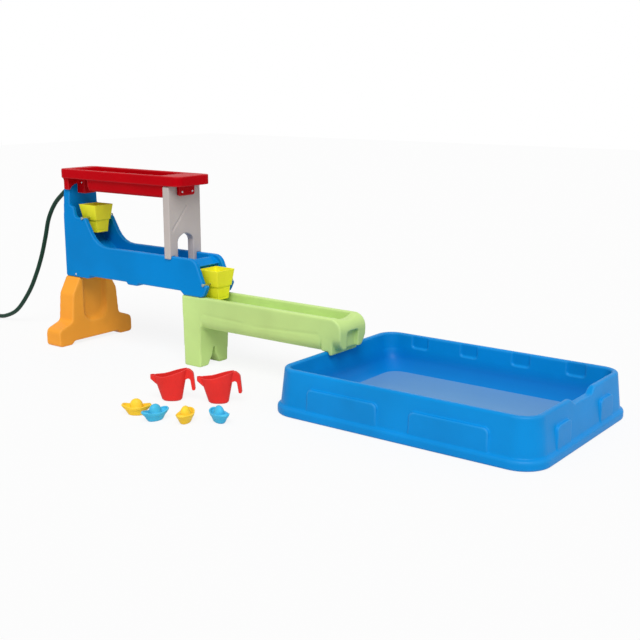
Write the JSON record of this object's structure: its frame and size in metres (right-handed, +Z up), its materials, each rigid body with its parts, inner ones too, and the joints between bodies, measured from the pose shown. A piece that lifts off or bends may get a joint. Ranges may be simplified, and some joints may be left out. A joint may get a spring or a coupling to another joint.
{
  "type": "water table",
  "caption": "Outdoor water play table: hose-fed stepped troughs with tipping buckets on axles that pour into a low rimmed pool, with loose pitchers and boats.",
  "frame": {"origin": "middle of the pool's flat underside, on the ground", "axes": "+X along the cascade from the tower to the pool, +Y away from the side seen in the picture, +Z up"},
  "size_m": [3.2051, 1.0658, 0.743],
  "materials": {
    "pool_blue": "satin moulded",
    "trough_blue": "satin moulded",
    "green": "satin moulded",
    "orange": "satin moulded",
    "red": "satin moulded",
    "grey": "satin moulded",
    "bucket_yellow": "soft gloss",
    "steel": "drawn bar",
    "black": "matte",
    "washer": "matte",
    "hose_green": "satin",
    "toy_red": "soft gloss",
    "toy_yellow": "soft gloss",
    "toy_blue": "soft gloss"
  },
  "bodies": {
    "table": {"pool_basin": "pool_blue", "lower_trough": "green", "middle_trough": "trough_blue", "base_stand": "orange", "upper_trough": "red", "arch_support": "grey", "inlet_elbow": "black", "inlet_screws": "steel", "arch_screws": "steel", "base_screws": "steel", "hose_connector": "black", "hose_washer": "washer", "hose": "hose_green", "hose_coil": "hose_green", "hose_coupling": "black"},
    "upper_bucket": {"upper_bucket": "bucket_yellow", "upper_bucket_axle": "steel", "upper_axle_caps": "steel"},
    "lower_bucket": {"lower_bucket": "bucket_yellow", "lower_bucket_axle": "steel", "lower_axle_caps": "steel"},
    "pitcher_1": {"pitcher_1": "toy_red"},
    "pitcher_2": {"pitcher_2": "toy_red"},
    "boat_yellow_1": {"boat_yellow_1": "toy_yellow"},
    "boat_yellow_2": {"boat_yellow_2": "toy_yellow"},
    "boat_blue_1": {"boat_blue_1": "toy_blue"},
    "boat_blue_2": {"boat_blue_2": "toy_blue"}
  },
  "joints": [
    {"name": "upper_bucket_tip", "type": "hinge", "parent": "table", "child": "upper_bucket", "pos_m": [-1.72884, 0, 0.5406], "axis": [0, 1, 0], "range_deg": [0, 100]},
    {"name": "lower_bucket_tip", "type": "hinge", "parent": "table", "child": "lower_bucket", "pos_m": [-1.047, 0, 0.3336], "axis": [0, 1, 0], "range_deg": [0, 100]},
    {"name": "pitcher_1_lift", "type": "slide", "parent": "table", "child": "pitcher_1", "axis": [0, 0, 1], "range_m": [0, 0.3]},
    {"name": "pitcher_2_lift", "type": "slide", "parent": "table", "child": "pitcher_2", "axis": [0, 0, 1], "range_m": [0, 0.3]},
    {"name": "boat_yellow_1_lift", "type": "slide", "parent": "table", "child": "boat_yellow_1", "axis": [0, 0, 1], "range_m": [0, 0.3]},
    {"name": "boat_yellow_2_lift", "type": "slide", "parent": "table", "child": "boat_yellow_2", "axis": [0, 0, 1], "range_m": [0, 0.3]},
    {"name": "boat_blue_1_lift", "type": "slide", "parent": "table", "child": "boat_blue_1", "axis": [0, 0, 1], "range_m": [0, 0.3]},
    {"name": "boat_blue_2_lift", "type": "slide", "parent": "table", "child": "boat_blue_2", "axis": [0, 0, 1], "range_m": [0, 0.3]}
  ]
}
